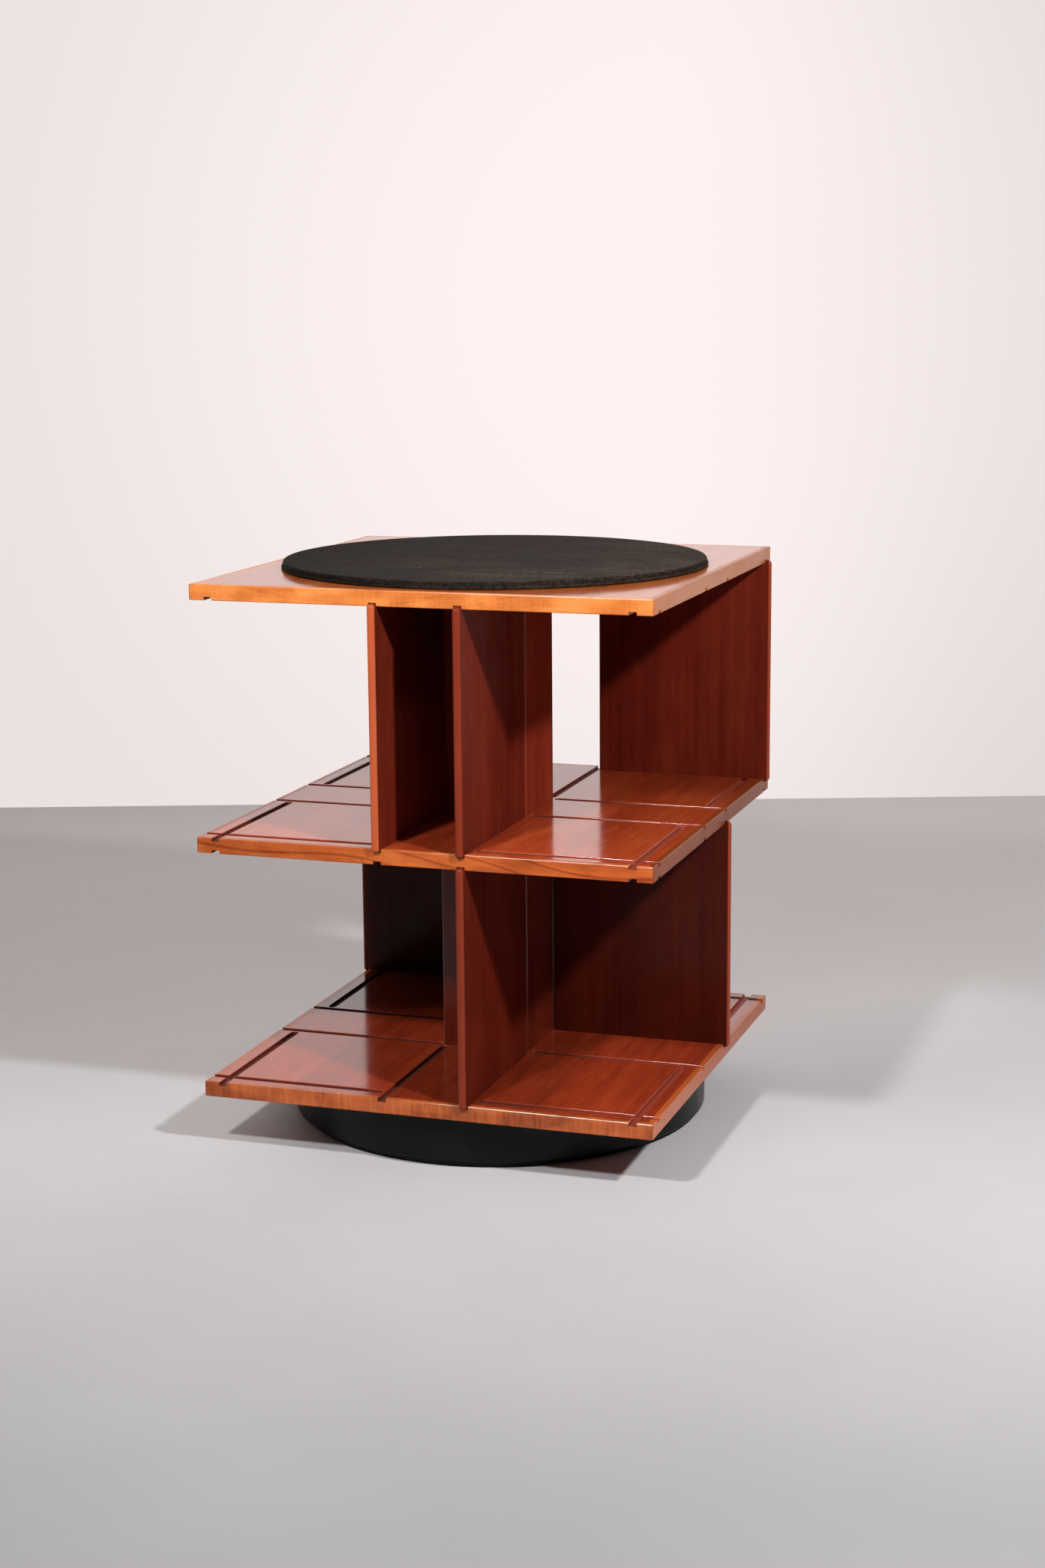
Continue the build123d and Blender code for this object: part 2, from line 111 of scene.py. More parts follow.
class NodeGraph:
    """Lays out the nodes of one material or world, and hands back the socket that each step puts out."""

    def __init__(self, tree: bpy.types.NodeTree) -> None:
        """Empties the node tree and keeps it.

        Args:
            tree: The node tree of a material or of the world.
        """
        self.tree = tree
        self.tree.nodes.clear()

    @classmethod
    def for_material(cls, name: str) -> tuple[bpy.types.Material, "NodeGraph"]:
        """Makes a new material with an empty graph.

        Args:
            name: The material's name.

        Returns:
            The material and the graph of its nodes.
        """
        material = bpy.data.materials.new(name)
        material.use_nodes = True
        return material, cls(material.node_tree)

    def add(self, kind: str, inputs: dict[Any, Value], **settings: Any) -> bpy.types.Node:
        """Adds a node, sets its options and fills its inputs.

        Args:
            kind: The node's type name.
            inputs: For each input, by name or number, a socket to link or a plain value.
            settings: The node's own options.

        Returns:
            The new node.
        """
        node = self.tree.nodes.new(kind)
        for option, choice in settings.items():
            setattr(node, option, choice)
        for key, value in inputs.items():
            if isinstance(value, Socket):
                self.tree.links.new(value, node.inputs[key])
            else:
                node.inputs[key].default_value = value
        return node

    def coordinates(self, kind: str = "Object") -> Socket:
        """One output of the texture coordinates, the object's own place by default."""
        return self.add("ShaderNodeTexCoord", {}).outputs[kind]

    def scaled(self, vector: Value, scale: Triple) -> Socket:
        """The vector with each of its parts multiplied."""
        return self.add("ShaderNodeVectorMath", {0: vector, 1: scale}, operation="MULTIPLY").outputs[0]

    def parts(self, vector: Value) -> bpy.types.NodeOutputs:
        """The X, Y and Z of a vector."""
        return self.add("ShaderNodeSeparateXYZ", {0: vector}).outputs

    def along(self, direction: Triple) -> Socket:
        """How far along a direction the place is, in the direction's own lengths."""
        inputs = {0: self.coordinates(), 1: direction}
        return self.add("ShaderNodeVectorMath", inputs, operation="DOT_PRODUCT").outputs["Value"]

    def shaded(self, colour: Value, factor: Value) -> Socket:
        """The colour made darker or lighter by a factor that can vary."""
        return self.add("ShaderNodeVectorMath", {0: colour, "Scale": factor}, operation="SCALE").outputs[0]

    def math(self, operation: str, first: Value, second: Value = 0.0, third: Value = 0.0) -> Socket:
        """One step of arithmetic.

        Args:
            operation: The name of the operation.
            first: Its first number or socket.
            second: Its second, where it has one.
            third: Its third, where it has one.

        Returns:
            The result's socket.
        """
        return self.add("ShaderNodeMath", {0: first, 1: second, 2: third}, operation=operation).outputs[0]

    def product(self, *factors: Value) -> Socket:
        """Several factors multiplied together.

        Args:
            factors: The numbers or sockets, the first of them a socket.

        Returns:
            The product.
        """
        result = factors[0]
        for factor in factors[1:]:
            result = self.math("MULTIPLY", result, factor)
        return result

    def noise(self, vector: Value, scale: float = 1.0, detail: float = 2.0, rough: float = 0.5) -> Socket:
        """Smooth noise.

        Args:
            vector: The place to read the noise at.
            scale: How many times it varies in each unit.
            detail: How many finer layers it has.
            rough: How strong the finer layers are.

        Returns:
            The noise, from about 0.3 to 0.7.
        """
        inputs = {"Vector": vector, "Scale": scale, "Detail": detail, "Roughness": rough}
        return self.add("ShaderNodeTexNoise", inputs).outputs[0]

    def span(
        self, value: Value, low: float, high: float, to_low: float = 0.0, to_high: float = 1.0
    ) -> Socket:
        """A smooth step from one range to another.

        Args:
            value: What to map.
            low: The value that becomes to_low.
            high: The value that becomes to_high.
            to_low: The result at and below low.
            to_high: The result at and above high.

        Returns:
            The mapped value.
        """
        inputs = {"Value": value, "From Min": low, "From Max": high, "To Min": to_low, "To Max": to_high}
        return self.add("ShaderNodeMapRange", inputs, interpolation_type="SMOOTHSTEP").outputs[0]

    def mix(self, factor: Value, first: Value, second: Value) -> Socket:
        """Blends two colours.

        Args:
            factor: The share of the second colour.
            first: The first colour or socket.
            second: The second colour or socket.

        Returns:
            The blended colour.
        """
        inputs = {0: factor, 6: first, 7: second}
        return self.add("ShaderNodeMix", inputs, data_type="RGBA").outputs[2]

    def ramp(self, value: Value, stops: list[tuple[float, Colour]]) -> Socket:
        """A colour ramp.

        Args:
            value: Where on the ramp to read.
            stops: The places and colours along it.

        Returns:
            The colour there.
        """
        node = self.add("ShaderNodeValToRGB", {0: value})
        elements = node.color_ramp.elements
        while len(elements) < len(stops):
            elements.new(1.0)
        for element, (place, colour) in zip(elements, stops):
            element.position = place
            element.color = opaque(colour)
        return node.outputs[0]

    def bump(self, height: Value, depth: float, strength: float) -> Socket:
        """Surface relief.

        Args:
            height: The height of the relief, from 0 to 1.
            depth: What a height of 1 stands for, in metres.
            strength: The share of it that shows.

        Returns:
            The normal's socket.
        """
        inputs = {"Strength": strength, "Distance": depth, "Height": height}
        return self.add("ShaderNodeBump", inputs).outputs[0]

    def surface(self, inputs: dict[str, Value]) -> None:
        """Ends a material in a principled surface.

        Args:
            inputs: The surface's sockets by name, each a socket to link or a plain value.
        """
        shader = self.add("ShaderNodeBsdfPrincipled", inputs)
        self.add("ShaderNodeOutputMaterial", {"Surface": shader.outputs[0]})


class Grain(Enum):
    """The direction that the wood's fibres run in."""

    ACROSS = "across"
    FRONT_TO_BACK = "front to back"
    UPRIGHT = "upright"

    def turn(self, slope: float) -> Triple:
        """The rotation that lays the fibres along X.

        Args:
            slope: The angle that the fibres are off that direction by, on the piece's face.

        Returns:
            The three angles of the rotation.
        """
        if self is Grain.ACROSS:
            return (0.0, slope, 0.0)
        if self is Grain.FRONT_TO_BACK:
            return (slope, 0.0, -math.pi / 2)
        return (0.0, math.pi / 2 + slope, 0.0)


@dataclass(frozen=True)
class FigureWeights:
    """How strongly each layer of a wood's figure shows."""

    bands: float
    streaks: float
    fibres: float
    rings: float
    mottle: float
    flame: float


class Figure(Enum):
    """The kinds of figure that the bookcase's wood shows."""

    STRAIGHT = FigureWeights(bands=0.42, streaks=0.26, fibres=0.12, rings=0.06, mottle=0.14, flame=0.0)
    MOTTLED = FigureWeights(bands=0.18, streaks=0.14, fibres=0.10, rings=0.10, mottle=0.50, flame=0.08)
    DRIFTING = FigureWeights(bands=0.24, streaks=0.20, fibres=0.12, rings=0.36, mottle=0.30, flame=0.0)
    FLAMED = FigureWeights(bands=0.20, streaks=0.12, fibres=0.06, rings=0.04, mottle=0.38, flame=0.22)
    RAW = FigureWeights(bands=0.30, streaks=0.30, fibres=0.25, rings=0.20, mottle=0.10, flame=0.0)


@dataclass(frozen=True)
class FigureLayer:
    """One layer of a wood's figure: noise drawn out along the fibres, and the part of it that shows."""

    along: float
    across: float
    detail: float
    shown: Band
    rough: float = 0.5

    def read(self, graph: NodeGraph, place: Socket) -> Socket:
        """The layer at a place in the wood, from 0 to 1."""
        stretched = graph.scaled(place, (self.along, self.across, self.across))
        return graph.span(graph.noise(stretched, detail=self.detail, rough=self.rough), *self.shown)


@dataclass(frozen=True)
class GrowthRings:
    """Dark growth lines: how closely they lie across and up the wood, and how they drift along it."""

    across: float = 180.0
    upward: float = 330.0
    wander: Triple = (2.6, 7.0, 7.0)
    drift: float = 30.0
    line: Band = (0.82, 1.0)

    def read(self, graph: NodeGraph, place: Socket) -> Socket:
        """The lines at a place in the wood.

        Args:
            graph: The material's graph.
            place: The place in the wood, with the fibres along X.

        Returns:
            1 at the middle of a line and 0 between lines.
        """
        drift = graph.noise(graph.scaled(place, self.wander), detail=1.0)
        xyz = graph.parts(place)
        depth = graph.math("MULTIPLY_ADD", xyz[1], self.across, graph.math("MULTIPLY", xyz[2], self.upward))
        phase = graph.math("MULTIPLY_ADD", drift, self.drift, depth)
        return graph.span(graph.math("SINE", phase), *self.line)


BANDS = FigureLayer(along=1.3, across=11.0, detail=2.0, shown=(0.32, 0.68))
STREAKS = FigureLayer(along=3.5, across=95.0, detail=3.0, shown=NOISE_RANGE, rough=0.6)
FIBRES = FigureLayer(along=26.0, across=1300.0, detail=1.0, shown=NOISE_RANGE)
MOTTLE = FigureLayer(along=16.0, across=38.0, detail=1.5, shown=(0.34, 0.66))
FLAME = FigureLayer(along=230.0, across=26.0, detail=3.0, shown=(0.36, 0.64))
PORES = FigureLayer(along=110.0, across=2300.0, detail=0.0, shown=(0.66, 0.74))
RINGS = GrowthRings()

DARK_STOP = 0.05
BODY_STOP = 0.5
LIGHT_STOP = 0.95


@dataclass(frozen=True)
class Tones:
    """Three shades of one wood, from its dark streaks to its light ones."""

    shade: Colour
    body: Colour
    glow: Colour

    def stops(self) -> list[tuple[float, Colour]]:
        """The stops of the wood's colour ramp."""
        return [(DARK_STOP, self.shade), (BODY_STOP, self.body), (LIGHT_STOP, self.glow)]

    def dimmed(self, factor: float) -> "Tones":
        """The same wood, darker or lighter by a factor."""
        return Tones(*(scaled_colour(colour, factor) for colour in (self.shade, self.body, self.glow)))

    def calmed(self, share: float) -> "Tones":
        """The same wood with its streaks brought nearer to its body colour by a share."""
        shade, glow = (
            tuple(own + (middle - own) * share for own, middle in zip(colour, self.body))
            for colour in (self.shade, self.glow)
        )
        return Tones(shade, self.body, glow)


TOP_LIPPING = Tones((0.56, 0.142, 0.029), (0.855, 0.254, 0.056), (0.96, 0.345, 0.098))
MIDDLE_LIPPING = Tones((0.27, 0.043, 0.009), (0.53, 0.105, 0.021), (0.76, 0.195, 0.042))
BOTTOM_LIPPING = Tones((0.22, 0.038, 0.010), (0.48, 0.104, 0.025), (0.68, 0.175, 0.045))
BOARD_VENEER = Tones((0.26, 0.029, 0.009), (0.42, 0.051, 0.016), (0.54, 0.086, 0.028))
MIDDLE_VENEER = Tones((0.24, 0.029, 0.008), (0.385, 0.053, 0.014), (0.49, 0.087, 0.024))
DIVIDER_VENEER = Tones((0.09, 0.009, 0.0045), (0.15, 0.017, 0.008), (0.20, 0.026, 0.011))
# The top board's veneer is lighter than the others' partly as a painted reflection of the pale wall.
TOP_VENEER = Tones((0.34, 0.065, 0.012), (0.54, 0.115, 0.020), (0.66, 0.170, 0.034))
CORE_VENEER = Tones((0.14, 0.016, 0.008), (0.23, 0.028, 0.012), (0.30, 0.041, 0.017))
PLAIN_WOOD = Tones((0.36, 0.24, 0.13), (0.52, 0.38, 0.23), (0.62, 0.48, 0.31))
RAW_ROUGH = 0.7
# Colour of the painted highlight on a front lipping's upper arris.
ARRIS_HIGHLIGHT_COLOUR: Colour = (1.0, 0.80, 0.68)
PALE_END: Colour = (0.50, 0.100, 0.037)
RED_END: Colour = (0.35, 0.060, 0.025)
DARK_END: Colour = (0.25, 0.037, 0.016)


@dataclass(frozen=True)
class GrooveShadeAndMitreLine:
    """Where a board's grooves are, so that their walls and floors can be darkened with painted shade.

    The board's faces are at two heights. On a panel all that lies between them is groove. On a lipping only
    the faces that look along the lipping, or up or down from below its arris, are. The painted shade fades
    out towards the right-hand side, where the lamps light the grooves.
    """

    underside: float
    top: float
    along: Optional[int] = None
    panel_depth: Band = (0.9 * MILLIMETRE, 1.3 * MILLIMETRE)
    lipping_depth: Band = (2.0 * MILLIMETRE, 3.0 * MILLIMETRE)
    square_on: Band = (0.85, 0.95)
    mitre_line: Fade = (0.3 * MILLIMETRE, 0.9 * MILLIMETRE, 0.75, 0.0)
    shade_fade: Fade = (0.10, 0.24, 0.34, 1.1)
    cover: float = 0.9
    rough: float = 0.6

    def inside(self, graph: NodeGraph) -> Socket:
        """Marks the walls and floors of the grooves, and on a lipping the fine dark line of its mitres.

        Args:
            graph: The material's graph.

        Returns:
            1 inside a groove and 0 elsewhere.
        """
        place = graph.parts(graph.coordinates())
        up = graph.math("SUBTRACT", place[2], self.underside)
        down = graph.math("SUBTRACT", self.top, place[2])
        depth = graph.math("MINIMUM", up, down)
        if self.along is None:
            return graph.span(depth, *self.panel_depth)
        normal = graph.parts(graph.coordinates("Normal"))
        wall = graph.span(graph.math("ABSOLUTE", normal[self.along]), *self.square_on)
        level = graph.span(graph.math("ABSOLUTE", normal[2]), *self.square_on)
        notch = graph.math("MULTIPLY", level, graph.span(depth, *self.lipping_depth))
        across = graph.math("ABSOLUTE", place[0])
        away = graph.math("ABSOLUTE", graph.math("SUBTRACT", across, graph.math("ABSOLUTE", place[1])))
        mitre = graph.span(away, *self.mitre_line)
        return graph.math("MAXIMUM", graph.math("MAXIMUM", wall, notch), mitre)

    def shade_level(self, graph: NodeGraph) -> Socket:
        """How light the painted shade is, from left to right."""
        return graph.span(graph.parts(graph.coordinates())[0], *self.shade_fade)


@dataclass(frozen=True)
class EndPaint:
    """The outer end of a loose panel, where lighter solid wood shows: its axis, its side and its colour."""

    axis: int
    sign: float
    start: float
    colour: Colour
    joint: float = 1.5 * MILLIMETRE
    dark_share: float = 0.8
    light_share: float = 1.2

    def stops(self) -> list[tuple[float, Colour]]:
        """The stops of the end's own colour ramp."""
        dark = scaled_colour(self.colour, self.dark_share)
        light = scaled_colour(self.colour, self.light_share)
        return [(DARK_STOP, dark), (LIGHT_STOP, light)]

    def reach(self, graph: NodeGraph) -> Socket:
        """Marks the end: 1 on it and 0 on the rest of the panel."""
        outward = graph.math("MULTIPLY", graph.parts(graph.coordinates())[self.axis], self.sign)
        return graph.span(outward, self.start, self.start + self.joint)


@dataclass(frozen=True)
class ArrisHighlight:
    """Painted highlight: the upper arris of a front lipping, painted pale in patches on its right-hand half,
    where a lamp's highlight runs along it.
    """

    strength: float
    rises: Band = (0.2, 0.5)
    levels_off: Fade = (0.85, 0.98, 1.0, 0.0)
    patch_scale: float = 30.0
    patches: Fade = (0.32, 0.5, 0.35, 1.0)
    right_half: Band = (-0.04, 0.12)

    def share(self, graph: NodeGraph, place: Socket) -> Socket:
        """The share of painted highlight.

        Args:
            graph: The material's graph.
            place: The place in the wood, with the fibres along X.

        Returns:
            The share, from 0 to the highlight's strength.
        """
        upward = graph.parts(graph.coordinates("Normal"))[2]
        across = graph.parts(graph.coordinates())[0]
        spots = graph.noise(graph.scaled(place, (self.patch_scale,) * 3))
        return graph.product(
            graph.span(upward, *self.rises),
            graph.span(upward, *self.levels_off),
            graph.span(spots, *self.patches),
            graph.span(across, *self.right_half, 0.0, self.strength),
        )


@dataclass(frozen=True)
class PanelPaintedShade:
    """Painted shade on one panel's veneer: a darker band along the middle, where the dividers' shade falls,
    and the corner at the back left, which lies in shade.
    """

    middle_shade_share: float
    corner_shade_share: float
    middle_shade_centre: float = 0.045
    middle_shade_edge: Band = (0.09, 0.12)
    corner_way: Triple = (-0.35, 0.94, 0.0)
    corner_edge: Band = (0.11, 0.17)

    def shaded(self, graph: NodeGraph, colour: Socket) -> Socket:
        """The veneer's colour with both parts of painted shade.

        Args:
            graph: The material's graph.
            colour: The veneer's even colour.

        Returns:
            The colour with the painted shade.
        """
        across = graph.parts(graph.coordinates())[0]
        away = graph.math("ABSOLUTE", graph.math("SUBTRACT", across, self.middle_shade_centre))
        colour = graph.shaded(colour, graph.span(away, *self.middle_shade_edge, self.middle_shade_share, 1.0))
        corner = graph.along(self.corner_way)
        return graph.shaded(colour, graph.span(corner, *self.corner_edge, 1.0, self.corner_shade_share))


@dataclass(frozen=True)
class WoodFinish:
    """Lacquered wood with bands, streaks, fibres, rings and pores."""

    name: str
    tones: Tones
    grain: Grain
    figure: Figure
    offset: Triple = (0.0, 0.0, 0.0)
    slope: float = 0.0
    rough: float = 0.14
    gloss: float = 0.5
    drift: Triple = (0.0, 0.0, 0.0)
    relief: float = 0.15
    underside_shade_share: float = 1.0
    dark: Optional[PanelPaintedShade] = None
    arris_highlight: Optional[ArrisHighlight] = None
    groove: Optional[GrooveShadeAndMitreLine] = None
    end: Optional[EndPaint] = None
    pore_shade: float = 0.45
    pore_cover: float = 0.45
    turned_down: Band = (-0.9, -0.5)
    polish_wander: Triple = (18.0, 34.0, 34.0)
    polish_range: Band = (0.85, 1.2)
    pore_relief: float = -0.8
    fibre_relief: float = 0.3
    relief_depth: float = 0.03 * MILLIMETRE

    def tone(self, graph: NodeGraph, place: Socket, fibres: Socket) -> Socket:
        """Adds up the layers of the figure.

        Args:
            graph: The material's graph.
            place: The place in the wood, with the fibres along X.
            fibres: The layer of fibres, which the relief uses too.

        Returns:
            The tone, from 0 for the darkest wood to 1 for the lightest.
        """
        weights = self.figure.value
        layers = (
            (BANDS.read(graph, place), weights.bands),
            (STREAKS.read(graph, place), weights.streaks),
            (fibres, weights.fibres),
            (MOTTLE.read(graph, place), weights.mottle),
            (FLAME.read(graph, place), weights.flame),
        )
        tone: Value = 0.5 - 0.5 * sum(weight for _, weight in layers)
        for layer, weight in layers:
            if weight > 0.0:
                tone = graph.math("MULTIPLY_ADD", layer, weight, tone)
        return graph.math("MULTIPLY_ADD", RINGS.read(graph, place), -weights.rings, tone)

    def coloured(self, graph: NodeGraph, place: Socket, tone: Socket, pores: Socket) -> Socket:
        """Colours the figure, and lays on it a slow change of lightness across the piece, the painted shade
        of a darker middle band, back-left corner and underside, the painted highlight on an arris, and the
        lighter end of a loose panel.

        Args:
            graph: The material's graph.
            place: The place in the wood, with the fibres along X.
            tone: The figure's tone.
            pores: The wood's pores.

        Returns:
            The wood's colour, apart from its grooves.
        """
        open_pore = opaque(scaled_colour(self.tones.shade, self.pore_shade))
        colour = graph.ramp(tone, self.tones.stops())
        colour = graph.mix(graph.math("MULTIPLY", pores, self.pore_cover), colour, open_pore)
        # A slow change of lightness across the piece; on the middle panel this is painted light, lighter at
        # the front and darker at the back.
        if any(self.drift):
            colour = graph.shaded(colour, graph.math("ADD", graph.along(self.drift), 1.0))
        # Painted shade: a darker band along the middle of the panel and its back-left corner.
        if self.dark is not None:
            colour = self.dark.shaded(graph, colour)
        # Painted shade: the underside is darkened, as it lies in shade.
        if self.underside_shade_share < 1.0:
            upward = graph.parts(graph.coordinates("Normal"))[2]
            colour = graph.shaded(colour, graph.span(upward, *self.turned_down, self.underside_shade_share, 1.0))
        # Painted highlight: the front lipping's upper arris is painted pale where a lamp's highlight runs.
        if self.arris_highlight is not None:
            colour = graph.mix(self.arris_highlight.share(graph, place), colour, opaque(ARRIS_HIGHLIGHT_COLOUR))
        if self.end is not None:
            colour = graph.mix(self.end.reach(graph), colour, graph.ramp(tone, self.end.stops()))
        return colour

    def make(self) -> bpy.types.Material:
        """Builds the material.

        Returns:
            The finished wood.
        """
        material, graph = NodeGraph.for_material(self.name)
        turn = self.grain.turn(self.slope)
        turned = {"Vector": graph.coordinates(), "Location": self.offset, "Rotation": turn}
        place = graph.add("ShaderNodeMapping", turned, vector_type="POINT").outputs[0]
        fibres = FIBRES.read(graph, place)
        pores = PORES.read(graph, place)
        colour = self.coloured(graph, place, self.tone(graph, place, fibres), pores)
        wander = graph.noise(graph.scaled(place, self.polish_wander))
        smoothest, roughest = (self.rough * share for share in self.polish_range)
        rough = graph.span(wander, *NOISE_RANGE, smoothest, roughest)
        # Painted shade: the grooves' walls and floors are darkened, fading out to the right; the mitre lines
        # take the same dark colour as dark joints.
        if self.groove is not None:
            inside = self.groove.inside(graph)
            groove_shade_colour = graph.shaded(self.tones.shade, self.groove.shade_level(graph))
            colour = graph.mix(graph.math("MULTIPLY", inside, self.groove.cover), colour, groove_shade_colour)
            rough = graph.math("MAXIMUM", rough, graph.math("MULTIPLY", inside, self.groove.rough))
        height = graph.math("MULTIPLY_ADD", fibres, self.fibre_relief, wander)
        height = graph.math("MULTIPLY_ADD", pores, self.pore_relief, height)
        inputs = {
            "Base Color": colour,
            "Roughness": rough,
            "Specular IOR Level": self.gloss,
            "Normal": graph.bump(height, self.relief_depth, self.relief),
        }
        graph.surface(inputs)
        return material


@dataclass(frozen=True)
class BlackLacquer:
    """Satin black paint on wood, a little uneven and dusty."""

    name: str
    colour: Colour = (0.0026, 0.0026, 0.0023)
    dust: Colour = (0.018, 0.0175, 0.0165)
    cloud_scale: float = 14.0
    film: Fade = (0.45, 0.75, 0.0, 0.16)
    speck_scale: float = 420.0
    specks: Fade = (0.74, 0.80, 0.0, 0.35)
    satin: Band = (0.26, 0.40)
    gloss: float = 0.16
    brush_scale: float = 260.0
    brush_depth: float = 0.04 * MILLIMETRE

    def make(self) -> bpy.types.Material:
        """Builds the material.

        Returns:
            The finished paint.
        """
        material, graph = NodeGraph.for_material(self.name)
        place = graph.coordinates()
        cloud = graph.noise(place, scale=self.cloud_scale, detail=3.0)
        specks = graph.noise(place, scale=self.speck_scale, detail=0.0)
        brush = graph.noise(place, scale=self.brush_scale, detail=1.0)
        colour = graph.mix(graph.span(cloud, *self.film), opaque(self.colour), opaque(self.dust))
        colour = graph.mix(graph.span(specks, *self.specks), colour, opaque(self.dust))
        inputs = {
            "Base Color": colour,
            "Roughness": graph.span(cloud, *NOISE_RANGE, *self.satin),
            "Specular IOR Level": self.gloss,
            "Normal": graph.bump(brush, self.brush_depth, 0.5),
        }
        graph.surface(inputs)
        return material


@dataclass(frozen=True)
class PadLeather:
    """Matt black leather with a fine pebbled grain, rubbed paler on top, and lighter towards the right as
    painted light.
    """

    name: str
    colour: Colour = (0.016, 0.0112, 0.0086)
    rubbed: Colour = (0.067, 0.048, 0.037)
    drift: Triple = (2.2, 0.0, 0.0)
    pebble_scale: float = 900.0
    pebble_depth: float = -0.10 * MILLIMETRE
    cloud_scale: float = 9.0
    worn: Band = (0.35, 0.7)
    stroke_stretch: Triple = (5.0, 60.0, 5.0)
    stroke_range: Band = (0.4, 1.0)
    upward: Band = (0.5, 0.98)
    grain_scale: float = 240.0
    grain: Fade = (0.34, 0.66, 0.5, 1.5)
    creases: Fade = (0.35, 0.75, 0.0, 0.4)
    crease_share: float = 0.5
    matt: Band = (0.70, 0.84)
    gloss: float = 0.06

    def make(self) -> bpy.types.Material:
        """Builds the material.

        Returns:
            The finished leather.
        """
        material, graph = NodeGraph.for_material(self.name)
        place = graph.coordinates()
        cells = {"Vector": place, "Scale": self.pebble_scale, "Randomness": 1.0}
        pebble = graph.add("ShaderNodeTexVoronoi", cells, feature="SMOOTH_F1").outputs["Distance"]
        cloud = graph.noise(place, scale=self.cloud_scale, detail=4.0, rough=0.6)
        strokes = graph.noise(graph.scaled(place, self.stroke_stretch))
        strokes = graph.span(strokes, *NOISE_RANGE, *self.stroke_range)
        facing_up = graph.span(graph.parts(graph.coordinates("Normal"))[2], *self.upward)
        worn = graph.product(graph.span(cloud, *self.worn), strokes, facing_up)
        colour = graph.mix(worn, opaque(self.colour), opaque(self.rubbed))
        grain = graph.span(graph.noise(place, scale=self.grain_scale, rough=0.6), *self.grain)
        # Painted light: the leather grows lighter towards the right.
        lightness = graph.math("ADD", graph.along(self.drift), 1.0)
        colour = graph.shaded(colour, graph.math("MULTIPLY", grain, lightness))
        # Painted shade: the creases between the pebbles are darkened.
        crease = opaque(scaled_colour(self.colour, self.crease_share))
        colour = graph.mix(graph.span(pebble, *self.creases), colour, crease)
        inputs = {
            "Base Color": colour,
            "Roughness": graph.span(cloud, *NOISE_RANGE, *self.matt),
            "Specular IOR Level": self.gloss,
            "Normal": graph.bump(pebble, self.pebble_depth, 0.5),
        }
        graph.surface(inputs)
        return material


@dataclass(frozen=True)
class Felt:
    """Pressed wool felt."""

    name: str
    colour: Colour = (0.022, 0.022, 0.021)
    fluff: Colour = (0.060, 0.060, 0.057)
    wool_scale: float = 1600.0
    wool_depth: float = 0.2 * MILLIMETRE
    fluffed: Band = (0.4, 0.7)

    def make(self) -> bpy.types.Material:
        """Builds the material.

        Returns:
            The finished felt.
        """
        material, graph = NodeGraph.for_material(self.name)
        wool = graph.noise(graph.coordinates(), scale=self.wool_scale, detail=3.0, rough=0.7)
        fluffed = graph.span(wool, *self.fluffed)
        inputs = {
            "Base Color": graph.mix(fluffed, opaque(self.colour), opaque(self.fluff)),
            "Roughness": 0.95,
            "Sheen Weight": 0.3,
            "Normal": graph.bump(wool, self.wool_depth, 0.7),
        }
        graph.surface(inputs)
        return material


@dataclass(frozen=True)
class TurnedMetal:
    """Bare metal with fine tool marks."""

    name: str
    colour: Colour
    tarnish: Colour
    mark_stretch: Triple = (300.0, 300.0, 4000.0)
    mark_depth: float = 0.01 * MILLIMETRE
    polish: Band = (0.22, 0.42)
    bloom_scale: float = 60.0
    bloom: Band = (0.4, 0.7)

    def make(self) -> bpy.types.Material:
        """Builds the material.

        Returns:
            The finished metal.
        """
        material, graph = NodeGraph.for_material(self.name)
        place = graph.coordinates()
        marks = graph.noise(graph.scaled(place, self.mark_stretch))
        bloom = graph.span(graph.noise(place, scale=self.bloom_scale, detail=3.0), *self.bloom)
        inputs = {
            "Base Color": graph.mix(bloom, opaque(self.colour), opaque(self.tarnish)),
            "Metallic": 1.0,
            "Roughness": graph.span(marks, *NOISE_RANGE, *self.polish),
            "Normal": graph.bump(marks, self.mark_depth, 0.5),
        }
        graph.surface(inputs)
        return material


def dress_node(name: str, material: bpy.types.Material) -> None:
    """Gives a CAD node its finish.

    Args:
        name: The node's name.
        material: The finish for all of its faces.
    """
    piece = frame["nodes"][name]
    for holder in piece.material_slots:
        holder.material = material
    log.info("dressed %s in %s", name, material.name)


# How far apart in the figure the pieces are cut, so that no two of them show the same wood.
PANEL_STEP: Triple = (1.7, 0.9, 0.4)
BOARD_STEP: Triple = (5.1, 0.0, 0.2)
LIPPING_STEP: Triple = (2.3, 0.37, 0.61)
LEVEL_STEP: Triple = (3.1, 0.0, 0.8)
CORE_WALL_STEP: Triple = (0.7, 1.3, 0.0)
DIVIDER_STEP: Triple = (1.9, 0.83, 0.57)

SIDES = ("front", "right", "back", "left")
CROSSWISE_SIDES = ("front", "back")


